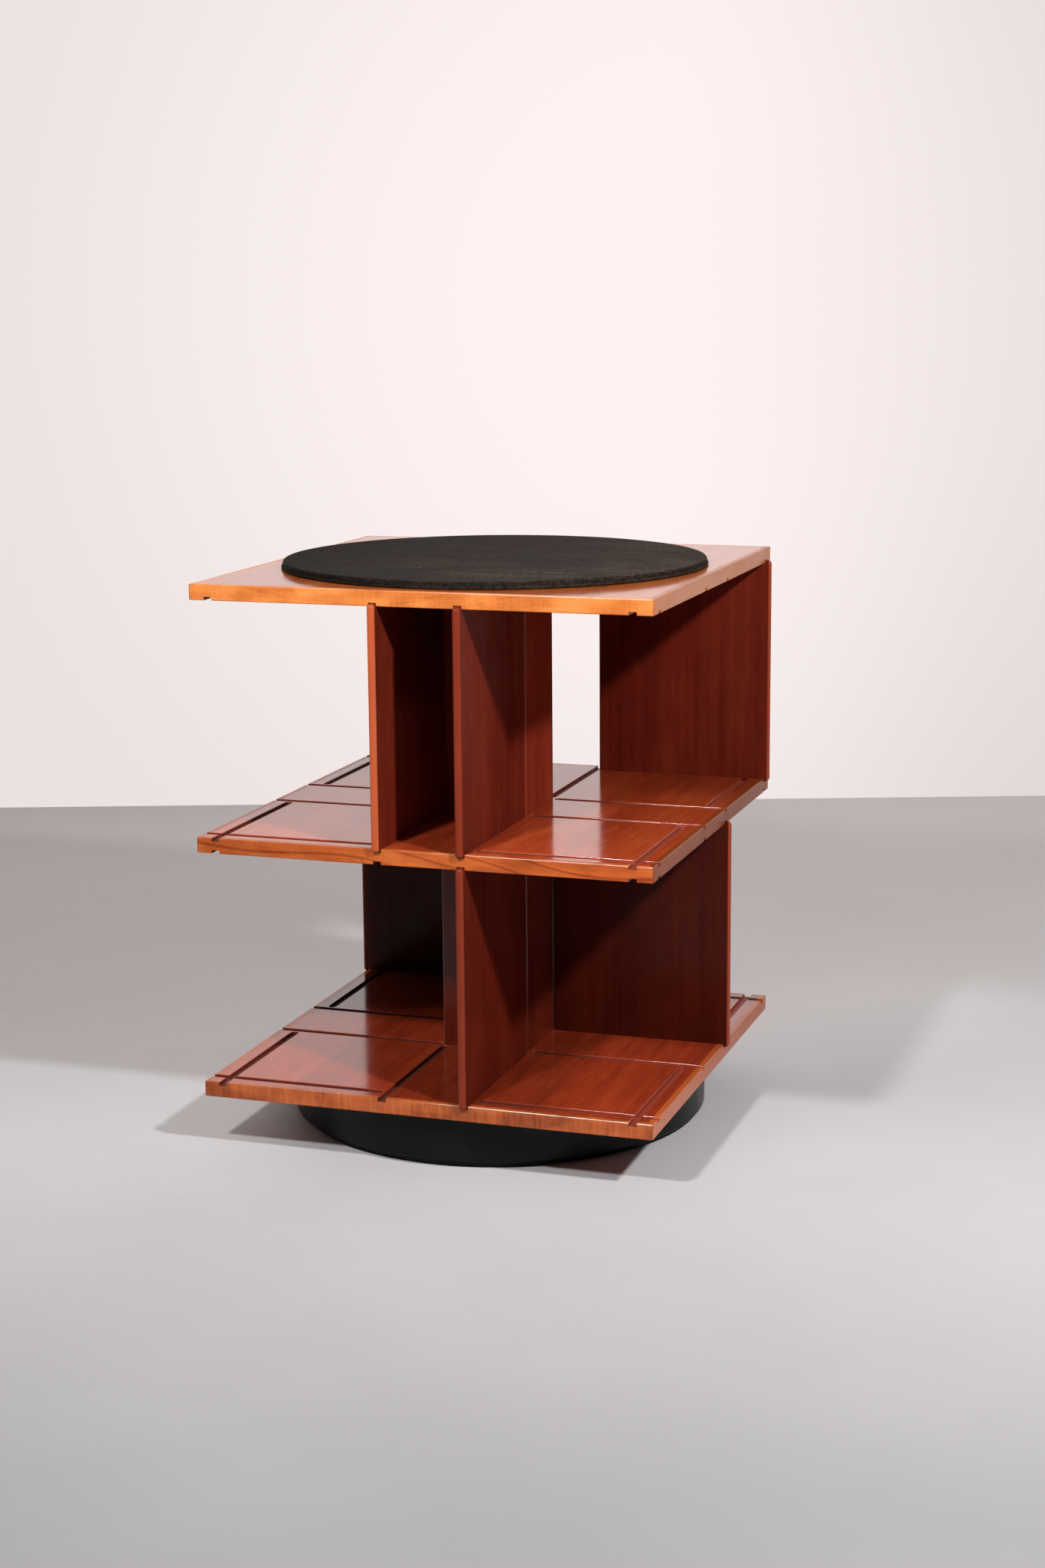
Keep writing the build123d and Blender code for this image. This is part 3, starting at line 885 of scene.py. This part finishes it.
@dataclass
class Board:
    """One grooved board of the case: a veneered panel with four solid lippings."""

    name: str
    tones: Tones
    figure: Figure
    number: int
    slope: float = 0.0
    panel_tones: Tones = BOARD_VENEER
    # Painted light on the panel: lighter at the front and darker at the back.
    panel_painted_falloff: Triple = (0.0, 0.0, 0.0)
    panel_rough: float = 0.13
    panel_gloss: float = 0.8
    panel_relief: float = 0.02
    panel_painted_shade: Optional[PanelPaintedShade] = None
    # Painted shade on the panel's underside.
    underside_shade_share: float = 0.4
    lipping_drift: Triple = (0.0, 0.0, 0.0)
    lipping_rough: float = 0.27
    lipping_gloss: float = 0.3
    front_relief: float = 0.15
    side_relief: float = 0.04
    # Strength of the painted highlight on the front lipping's upper arris.
    arris_highlight_strength: float = 0.4
    side_calm: float = 0.6
    # The right lipping's painted light: below 1 it is painted shade, above 1 a painted reflection.
    right_side_light_share: float = 0.6

    def faces(self) -> tuple[float, float]:
        """The heights of the board's underside and top."""
        low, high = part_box(f"{self.name}_panel")
        return low.z, high.z

    def dress_panel(self) -> None:
        """Veneers the panel with its fibres running from front to back."""
        finish = WoodFinish(
            f"{self.name}_panel_veneer", self.panel_tones, Grain.FRONT_TO_BACK, Figure.STRAIGHT,
            spaced((self.number, PANEL_STEP)), rough=self.panel_rough, gloss=self.panel_gloss,
            drift=self.panel_painted_falloff, relief=self.panel_relief, underside_shade_share=self.underside_shade_share,
            dark=self.panel_painted_shade, groove=GrooveShadeAndMitreLine(*self.faces()),
        )
        dress_node(f"{self.name}_panel", finish.make())

    def lipping_tones(self, side: str) -> Tones:
        """The wood of one lipping.

        Args:
            side: The side of the board that it is on.

        Returns:
            The board's own wood at the front and back, calmer at the sides, and on the right dimmed as
            painted shade on the top and middle boards and brightened as a painted reflection on the bottom
            board.
        """
        if side in CROSSWISE_SIDES:
            return self.tones
        calm = self.tones.calmed(self.side_calm)
        return calm.dimmed(self.right_side_light_share) if side == "right" else calm

    def dress_lippings(self) -> None:
        """Gives each lipping its own length of solid wood."""
        for place, side in enumerate(SIDES):
            across = side in CROSSWISE_SIDES
            finish = WoodFinish(
                f"{self.name}_lipping_{side}_wood", self.lipping_tones(side),
                Grain.ACROSS if across else Grain.FRONT_TO_BACK,
                self.figure if across else Figure.STRAIGHT,
                spaced((place, LIPPING_STEP), (self.number, BOARD_STEP)), self.slope,
                rough=self.lipping_rough, gloss=self.lipping_gloss, drift=self.lipping_drift,
                relief=self.front_relief if across else self.side_relief,
                arris_highlight=ArrisHighlight(self.arris_highlight_strength) if side == "front" else None,
                groove=GrooveShadeAndMitreLine(*self.faces(), along=0 if across else 1),
            )
            dress_node(f"{self.name}_lipping_{side}", finish.make())

    def dress(self) -> None:
        """Dresses the whole board."""
        self.dress_panel()
        self.dress_lippings()


@dataclass
class Core:
    """The hollow square column of one level."""

    level: str
    number: int
    tones: Tones
    rough: float = 0.22
    gloss: float = 0.35

    def dress(self) -> None:
        """Veneers the four walls with upright fibres, and leaves the cleats plain."""
        for place, side in enumerate(SIDES):
            finish = WoodFinish(
                f"{self.level}_core_{side}_veneer", self.tones, Grain.UPRIGHT, Figure.STRAIGHT,
                spaced((self.number, LEVEL_STEP), (place, CORE_WALL_STEP)),
                rough=self.rough, gloss=self.gloss,
            )
            dress_node(f"{self.level}_core_{side}", finish.make())
        cleats = WoodFinish(
            f"{self.level}_cleat_wood", PLAIN_WOOD, Grain.UPRIGHT, Figure.RAW, rough=RAW_ROUGH
        )
        dress_node(f"{self.level}_core_cleats", cleats.make())


class Outward(Enum):
    """The way that a loose panel slides out: the axis and the side."""

    FRONT = (1, -1.0)
    RIGHT = (0, 1.0)
    LEFT = (0, -1.0)


@dataclass
class Divider:
    """One loose panel that slides in the grooves, with its own sheet of upright veneer."""

    place: str
    number: int
    outward: Outward
    # How much the veneer is dimmed or brightened as painted light and shade.
    share: float
    end_colour: Colour
    end_depth: float = 3.6 * MILLIMETRE
    tones: Tones = DIVIDER_VENEER
    rough: float = 0.22
    gloss: float = 0.10

    def dress(self) -> None:
        """Veneers the panel, dimmed or brightened by its share as painted light and shade, and gives its
        outer end the colour of solid wood.
        """
        name = f"divider_{self.place}"
        axis, sign = self.outward.value
        low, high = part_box(name)
        reach = high[axis] if sign > 0.0 else -low[axis]
        finish = WoodFinish(
            f"{name}_veneer", self.tones.dimmed(self.share), Grain.UPRIGHT, Figure.STRAIGHT,
            spaced((self.number, DIVIDER_STEP)), rough=self.rough, gloss=self.gloss,
            end=EndPaint(axis, sign, reach - self.end_depth, self.end_colour),
        )
        dress_node(name, finish.make())


@dataclass
class Drum:
    """The black plinth with its hidden base, deck and felt."""

    black_nodes: tuple[str, ...] = ("drum_skirt", "foot_disc")
    plain_nodes: tuple[str, ...] = ("base_disc", "drum_deck", "deck_blocks")

    def dress(self) -> None:
        """Paints the skirt and foot black, and leaves the inside plain."""
        lacquer = BlackLacquer("drum_lacquer").make()
        for name in self.black_nodes:
            dress_node(name, lacquer)
        plain = WoodFinish("drum_inner_wood", PLAIN_WOOD, Grain.ACROSS, Figure.RAW, rough=RAW_ROUGH).make()
        for name in self.plain_nodes:
            dress_node(name, plain)
        dress_node("floor_felt", Felt("foot_felt").make())


@dataclass
class Hardware:
    """The swivel bearing, the tie rod and the screws."""

    steel_nodes: tuple[str, ...] = (
        "lower_race", "upper_race", "bearing_balls", "lower_race_screws", "upper_race_screws", "deck_screws",
        "tie_rod", "tie_rod_top_washer", "tie_rod_top_nut", "tie_rod_lower_washer", "tie_rod_lower_nut",
        "pivot_washer", "pivot_nut",
    )
    brass_nodes: tuple[str, ...] = ("ball_cage", "pivot_bush")
    steel: TurnedMetal = TurnedMetal("zinc_plated_steel", (0.62, 0.62, 0.61), (0.50, 0.50, 0.48))
    brass: TurnedMetal = TurnedMetal("turned_brass", (0.72, 0.52, 0.22), (0.50, 0.36, 0.16))

    def dress(self) -> None:
        """Gives each piece its metal."""
        for names, metal in ((self.steel_nodes, self.steel), (self.brass_nodes, self.brass)):
            material = metal.make()
            for name in names:
                dress_node(name, material)


@dataclass
class TopPad:
    """The round pad: a soft cover stretched over a thin board, with a piped lower edge."""

    node: str = "top_pad"
    body: str = "pad"
    slot: str = "pad_leather"
    steps: int = 288
    wall_inset: float = 2.2 * MILLIMETRE
    wall_swell: float = 0.3 * MILLIMETRE
    foot_inset: float = 4.0 * MILLIMETRE
    foot_steepness: float = 0.6
    rim_radius: float = 3.0 * MILLIMETRE
    rim_angles: tuple[float, ...] = (0.0, 30.0, 60.0, 90.0)
    crown: float = 0.8 * MILLIMETRE
    piping_radius: float = 1.9 * MILLIMETRE
    piping_inset: float = 2.1 * MILLIMETRE
    piping_lift: float = 0.1 * MILLIMETRE
    piping_sides: int = 8
    still_share: float = 0.05
    edge_zone: Band = (0.93, 0.99)
    edge_waviness: float = 0.35 * MILLIMETRE
    edge_pitch: float = 26.0
    edge_seed: float = 3.0
    face_waviness: float = 0.25 * MILLIMETRE
    face_pitch: float = 11.0
    face_seed: float = 7.0
    top_rings: tuple[float, ...] = (0.985, 0.96, 0.90, 0.80, 0.66, 0.50, 0.33, 0.16)
    leather: PadLeather = PadLeather("pad_cover_leather")

    def space(self) -> tuple[float, float, float]:
        """The radius, foot height and top height of the space that the CAD pad holds."""
        low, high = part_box(self.node)
        return (high.x - low.x) / 2, low.z, high.z

    def profile(self) -> list[Triple]:
        """Points from the middle of the pad's underside, round its edge, to the middle of its top.

        Returns:
            The points on the XZ plane.
        """
        radius, foot, top = self.space()
        wall = radius - self.wall_inset
        rim = top - self.crown
        points = [(0.0, 0.0, foot), (wall * 0.5, 0.0, foot), (radius - self.foot_inset, 0.0, foot)]
        points.append((wall, 0.0, foot + self.foot_steepness * self.foot_inset))
        points.append((wall + self.wall_swell, 0.0, foot + 0.5 * (rim - foot)))
        for angle in self.rim_angles:
            turn = math.radians(angle)
            across = wall - self.rim_radius + self.rim_radius * math.cos(turn)
            points.append((across, 0.0, rim - self.rim_radius + self.rim_radius * math.sin(turn)))
        for share in self.top_rings:
            rise = self.crown * (1.0 - share * share)
            points.append(((wall - self.rim_radius) * share, 0.0, rim + rise))
        points.append((0.0, 0.0, top))
        return points

    def spun(self, shape: bmesh.types.BMesh) -> None:
        """Spins the shape's own edges once round the axis and closes it.

        Args:
            shape: The shape to spin, which holds only its profile.
        """
        geometry = list(shape.verts) + list(shape.edges)
        bmesh.ops.spin(
            shape, geom=geometry, cent=(0.0, 0.0, 0.0), axis=(0.0, 0.0, 1.0), dvec=(0.0, 0.0, 0.0),
            angle=math.tau, steps=self.steps, use_merge=True, use_duplicate=False,
        )
        bmesh.ops.remove_doubles(shape, verts=list(shape.verts), dist=SAME_PLACE)
        bmesh.ops.recalc_face_normals(shape, faces=list(shape.faces))

    @staticmethod
    def wave(place: Vector, pitch: float, seed: float) -> float:
        """The height of smooth waves at a place on the pad, from 0 to 1."""
        return abs(noise.noise(Vector((place.x * pitch, place.y * pitch, seed))))

    def soften(self, shape: bmesh.types.BMesh) -> None:
        """Lets the edge wander a little and the top roll gently, as a hand-stretched cover does.

        Args:
            shape: The spun cover.
        """
        radius, foot, top = self.space()
        start, end = self.edge_zone
        for vertex in shape.verts:
            place = vertex.co
            reach = math.hypot(place.x, place.y)
            rise = (place.z - foot) / (top - foot)
            if reach < SAME_PLACE or rise < self.still_share:
                continue
            nearness = max(0.0, min(1.0, (reach / radius - start) / (end - start)))
            pull = -self.wave(place, self.edge_pitch, self.edge_seed) * self.edge_waviness * nearness
            place.x += place.x / reach * pull
            place.y += place.y / reach * pull
            place.z -= self.wave(place, self.face_pitch, self.face_seed) * self.face_waviness * rise

    def finish_piece(self, shape: bmesh.types.BMesh, name: str) -> bpy.types.Object:
        """Turns a shape into a smooth piece that rides on the pad's body.

        Args:
            shape: The shape, in its place.
            name: The piece's name.

        Returns:
            The piece.
        """
        mesh = bpy.data.meshes.new(name)
        shape.to_mesh(mesh)
        shape.free()
        for face in mesh.polygons:
            face.use_smooth = True
        piece = bpy.data.objects.new(name, mesh)
        bpy.context.scene.collection.objects.link(piece)
        rounding = piece.modifiers.new("rounding", "SUBSURF")
        rounding.levels = 1
        rounding.render_levels = 1
        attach(piece, self.body)
        log.info("built %s", name)
        return piece

    def build_cover(self) -> bpy.types.Object:
        """Builds the stretched cover.

        Returns:
            The cover.
        """
        shape = bmesh.new()
        vertices = [shape.verts.new(point) for point in self.profile()]
        for first, second in zip(vertices, vertices[1:]):
            shape.edges.new((first, second))
        self.spun(shape)
        self.soften(shape)
        return self.finish_piece(shape, "pad_cover")

    def build_piping(self) -> bpy.types.Object:
        """Builds the piping sewn into the cover's lower edge.

        Returns:
            The piping.
        """
        radius, foot, _ = self.space()
        shape = bmesh.new()
        ring = bmesh.ops.create_circle(
            shape, cap_ends=False, segments=self.piping_sides, radius=self.piping_radius
        )["verts"]
        stand = Matrix.Rotation(math.pi / 2, 4, "X")
        height = foot + self.piping_radius + self.piping_lift
        place = Matrix.Translation((radius - self.piping_inset, 0.0, height))
        bmesh.ops.transform(shape, matrix=place @ stand, verts=ring)
        self.spun(shape)
        return self.finish_piece(shape, "pad_piping")

    def build(self) -> None:
        """Builds and dresses the pad in place of its CAD solid."""
        material = self.leather.make()
        cover = self.build_cover()
        piping = self.build_piping()
        for piece in (cover, piping):
            piece.data.materials.append(material)
        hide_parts(self.node)


@dataclass
class Lamp:
    """One round studio lamp that points at the bookcase."""

    name: str
    place: Triple
    size: float
    power: float
    colour: Colour = (1.0, 1.0, 1.0)
    target: Triple = (0.0, 0.0, 0.42)

    def build(self) -> None:
        """Hangs the lamp in its place."""
        data = bpy.data.lights.new(self.name, "AREA")
        data.shape = "DISK"
        data.size = self.size
        data.energy = self.power
        data.color = self.colour
        lamp = bpy.data.objects.new(self.name, data)
        bpy.context.scene.collection.objects.link(lamp)
        lamp.location = self.place
        aim = Vector(self.target) - Vector(self.place)
        lamp.rotation_mode = "QUATERNION"
        lamp.rotation_quaternion = aim.to_track_quat("-Z", "Y")
        lamp.visible_camera = False
        log.info("hung %s", self.name)


@dataclass
class Studio:
    """A pale wall, a grey floor, two lamps and soft light all round."""

    floor_size: float = 16.0
    floor_colour: Colour = (0.73, 0.713, 0.728)
    floor_cloud_share: float = 0.93
    floor_matt: Band = (0.55, 0.65)
    floor_back: Triple = (-0.32, 0.95, 0.0)
    floor_left_back: Triple = (-0.795, 0.79, 0.0)
    floor_right: Triple = (0.95, 0.32, 0.0)
    # Painted light on the floor's colour: a falloff towards the camera and a rise to the right.
    floor_painted_falloff: Fade = (-1.35, -0.1, 0.55, 1.02)
    floor_painted_side_light: float = 0.13
    floor_glow: Colour = (1.0, 0.855, 0.815)
    near_glow: Fade = (-0.25, 0.25, 0.0, 0.115)
    back_glow: Fade = (0.4, 1.9, 0.0, 0.06)
    shadow_ring: Band = (0.25, 0.36)
    far_glow: float = 0.36
    far_front: Band = (-2.4, -1.4)
    far_side: Band = (1.3, 2.4)
    wall_foot: Triple = (-0.12, 2.092, 0.0)
    wall_turn: float = 19.4
    wall_width: float = 14.0
    wall_height: float = 4.0
    wall_middle: Triple = (-0.25, 2.05, 1.05)
    wall_colour: Colour = (0.99, 0.895, 0.885)
    wall_edge_colour: Colour = (0.83, 0.755, 0.74)
    wall_fade: Band = (0.3, 1.75)
    wall_right_fade: Fade = (0.3, 1.15, 1.0, 0.88)
    room_colour: Colour = (0.90, 0.83, 0.82)
    dim_room: Colour = (0.060, 0.058, 0.057)
    ceiling: Colour = (0.20, 0.195, 0.19)
    overhead: Band = (0.2, 0.9)
    spread_share: float = 0.28
    mirror_share: float = 1.06
    lamps: tuple[Lamp, ...] = (
        Lamp("right_lamp", (1.75, -1.33, 1.90), 0.16, 48.0),
        Lamp("left_lamp", (-0.30, -1.70, 1.66), 0.16, 24.0),
    )

    def sheet(self, name: str, width: float, height: float, matrix: Matrix) -> bpy.types.Object:
        """Builds a flat stage sheet.

        Args:
            name: Its name.
            width: Its size along its own X.
            height: Its size along its own Y.
            matrix: Its place.

        Returns:
            The sheet.
        """
        shape = bmesh.new()
        bmesh.ops.create_grid(shape, x_segments=1, y_segments=1, size=0.5)
        bmesh.ops.scale(shape, vec=(width, height, 1.0), verts=list(shape.verts))
        bmesh.ops.transform(shape, matrix=matrix, verts=list(shape.verts))
        mesh = bpy.data.meshes.new(name)
        shape.to_mesh(mesh)
        shape.free()
        piece = bpy.data.objects.new(name, mesh)
        bpy.context.scene.collection.objects.link(piece)
        log.info("set up %s", name)
        return piece

    def glow(self, graph: NodeGraph, side: Socket) -> Socket:
        """How much of the wall's light the camera sees on the floor, behind and far away from the bookcase.

        Args:
            graph: The floor's graph.
            side: The floor's painted rise in lightness from left to right.

        Returns:
            The strength of the glow.
        """
        behind = graph.along(self.floor_left_back)
        glow = graph.math("ADD", graph.span(behind, *self.near_glow), graph.span(behind, *self.back_glow))
        place = graph.coordinates()
        away = graph.add("ShaderNodeVectorMath", {0: place}, operation="LENGTH").outputs["Value"]
        glow = graph.product(glow, side, graph.span(away, *self.shadow_ring))
        front = graph.span(graph.along(self.floor_back), *self.far_front, self.far_glow, 0.0)
        sideways = graph.math("ABSOLUTE", graph.along(self.floor_right))
        far = graph.math("MAXIMUM", front, graph.span(sideways, *self.far_side, 0.0, self.far_glow))
        return graph.math("MAXIMUM", glow, far)

    def build_floor(self) -> None:
        """Lays the floor: smooth grey screed, slightly clouded, with painted light: darker towards the
        camera, lighter to the right, and the camera-only glow.
        """
        floor = self.sheet("floor", self.floor_size, self.floor_size, Matrix.Identity(4))
        material, graph = NodeGraph.for_material("grey_floor")
        place = graph.coordinates()
        cloud = graph.noise(place, scale=1.6, detail=4.0, rough=0.55)
        fine = graph.noise(place, scale=60.0)
        darker = opaque(scaled_colour(self.floor_colour, self.floor_cloud_share))
        colour = graph.mix(graph.span(cloud, *NOISE_RANGE), darker, opaque(self.floor_colour))
        # Painted light on the floor: darker towards the camera and lighter to the right.
        side = graph.math("MULTIPLY_ADD", graph.along(self.floor_right), self.floor_painted_side_light, 1.0)
        depth = graph.span(graph.along(self.floor_back), *self.floor_painted_falloff)
        seen = graph.add("ShaderNodeLightPath", {}).outputs["Is Camera Ray"]
        inputs = {
            "Base Color": graph.shaded(colour, graph.math("MULTIPLY", depth, side)),
            "Roughness": graph.span(fine, *NOISE_RANGE, *self.floor_matt),
            "Specular IOR Level": 0.2,
            "Emission Color": opaque(self.floor_glow),
            "Emission Strength": graph.math("MULTIPLY", self.glow(graph, side), seen),
        }
        graph.surface(inputs)
        floor.data.materials.append(material)

    def build_wall(self) -> None:
        """Stands the lit wall behind the bookcase. It is open from behind, for views from that side."""
        turn = Matrix.Rotation(math.radians(self.wall_turn), 4, "Z")
        stand = Matrix.Rotation(math.pi / 2, 4, "X")
        raised = Matrix.Translation((0.0, self.wall_height / 2, 0.0))
        matrix = Matrix.Translation(self.wall_foot) @ turn @ stand @ raised
        wall = self.sheet("wall", self.wall_width, self.wall_height, matrix)
        material, graph = NodeGraph.for_material("pale_wall")
        inputs = {0: graph.coordinates(), 1: self.wall_middle}
        away = graph.add("ShaderNodeVectorMath", inputs, operation="DISTANCE").outputs["Value"]
        fade = graph.span(away, *self.wall_fade)
        colour = graph.mix(fade, opaque(self.wall_colour), opaque(self.wall_edge_colour))
        colour = graph.shaded(colour, graph.span(graph.along(self.floor_right), *self.wall_right_fade))
        path = graph.add("ShaderNodeLightPath", {}).outputs
        strength = graph.math("MULTIPLY_ADD", path["Is Diffuse Ray"], self.spread_share - 1.0, 1.0)
        strength = graph.math("MULTIPLY_ADD", path["Is Glossy Ray"], self.mirror_share - 1.0, strength)
        bright = graph.add("ShaderNodeEmission", {"Color": colour, "Strength": strength}).outputs[0]
        behind = graph.add("ShaderNodeNewGeometry", {}).outputs["Backfacing"]
        clear = graph.add("ShaderNodeBsdfTransparent", {}).outputs[0]
        both = graph.add("ShaderNodeMixShader", {0: behind, 1: bright, 2: clear}).outputs[0]
        graph.add("ShaderNodeOutputMaterial", {"Surface": both})
        wall.data.materials.append(material)

    def build_world(self) -> None:
        """Fills the room with soft light: dim all round, brighter overhead, and pale where it is seen."""
        world = bpy.data.worlds.new("studio_room")
        world.use_nodes = True
        bpy.context.scene.world = world
        graph = NodeGraph(world.node_tree)
        height = graph.parts(graph.coordinates("Generated"))[2]
        soft = graph.mix(graph.span(height, *self.overhead), opaque(self.dim_room), opaque(self.ceiling))
        path = graph.add("ShaderNodeLightPath", {}).outputs
        colour = graph.mix(path["Is Camera Ray"], soft, opaque(self.room_colour))
        strength = graph.math("MULTIPLY_ADD", path["Is Diffuse Ray"], self.spread_share - 1.0, 1.0)
        sky = graph.add("ShaderNodeBackground", {"Color": colour, "Strength": strength}).outputs[0]
        graph.add("ShaderNodeOutputWorld", {"Surface": sky})

    def build(self) -> None:
        """Sets up the whole studio."""
        self.build_floor()
        self.build_wall()
        self.build_world()
        for lamp in self.lamps:
            lamp.build()
        bpy.context.scene.view_settings.view_transform = "Standard"


@dataclass
class PhotoCamera:
    """The camera at the photograph's place and angle."""

    place: Triple = (1.11671, -3.22559, 1.12438)
    azimuth: float = 18.5316
    pitch: float = 11.3165
    roll: float = -0.47646
    focal_pixels: float = 3405.91
    picture_height: float = 2048.0
    sensor: float = 36.0
    nearest: float = 0.05
    farthest: float = 60.0

    def build(self) -> None:
        """Stands the camera in its place and makes it the scene's camera."""
        data = bpy.data.cameras.new("photo_camera")
        data.sensor_fit = "AUTO"
        data.sensor_width = self.sensor
        data.lens = self.focal_pixels / self.picture_height * self.sensor
        data.clip_start = self.nearest
        data.clip_end = self.farthest
        camera = bpy.data.objects.new("photo_camera", data)
        bpy.context.scene.collection.objects.link(camera)
        azimuth, pitch, roll = (math.radians(angle) for angle in (self.azimuth, self.pitch, self.roll))
        level = Vector((-math.sin(azimuth), math.cos(azimuth), 0.0))
        ahead = math.cos(pitch) * level - math.sin(pitch) * Vector((0.0, 0.0, 1.0))
        right = Vector((math.cos(azimuth), math.sin(azimuth), 0.0))
        up = right.cross(ahead)
        level_right = math.cos(roll) * right + math.sin(roll) * up
        level_up = -math.sin(roll) * right + math.cos(roll) * up
        turn = Matrix((level_right, level_up, -ahead)).transposed().to_4x4()
        camera.matrix_world = Matrix.Translation(self.place) @ turn
        bpy.context.scene.camera = camera
        log.info("set up photo_camera")


def main() -> None:
    """Dresses the bookcase piece by piece and sets up the studio round it."""
    logging.basicConfig(level=logging.INFO, format="%(message)s")
    boards = (
        Board(
            "top", TOP_LIPPING, Figure.MOTTLED, 1, slope=math.radians(2.0), panel_tones=TOP_VENEER,
            lipping_drift=(0.05, 0.0, 0.0),
        ),
        Board(
            "middle", MIDDLE_LIPPING, Figure.DRIFTING, 2, slope=math.radians(-7.0),
            panel_tones=MIDDLE_VENEER, panel_painted_falloff=(0.1, -1.2, 0.0), panel_gloss=0.88,
            lipping_drift=(0.5, 0.0, 0.0), right_side_light_share=0.42,
        ),
        Board(
            "bottom", BOTTOM_LIPPING, Figure.FLAMED, 3, slope=math.radians(1.5), panel_gloss=0.76,
            panel_painted_shade=PanelPaintedShade(middle_shade_share=0.66, corner_shade_share=0.30), lipping_rough=0.22, arris_highlight_strength=0.85,
            right_side_light_share=1.15,
        ),
    )
    for board in boards:
        board.dress()
    # The lower core's veneer is darkened as painted shade, the upper core's lightened as painted light.
    Core("lower", 1, CORE_VENEER.dimmed(0.58)).dress()
    Core("upper", 2, CORE_VENEER.dimmed(1.25)).dress()
    # Each panel's share is painted light and shade: the lower panels, the back-left one most, are darkened
    # as if in shade, and the upper back-right one lightened.
    dividers = (
        Divider("upper_front_left", 0, Outward.FRONT, 1.0, PALE_END),
        Divider("upper_front_right", 1, Outward.FRONT, 1.0, DARK_END),
        Divider("upper_back_right", 2, Outward.RIGHT, 1.07, RED_END),
        Divider("lower_front", 3, Outward.FRONT, 0.8, DARK_END),
        Divider("lower_right", 4, Outward.RIGHT, 0.5, RED_END),
        Divider("lower_back_left", 5, Outward.LEFT, 0.32, DARK_END),
    )
    for divider in dividers:
        divider.dress()
    Drum().dress()
    Hardware().dress()
    TopPad().build()
    Studio().build()
    PhotoCamera().build()


if __name__ == "__main__":
    main()
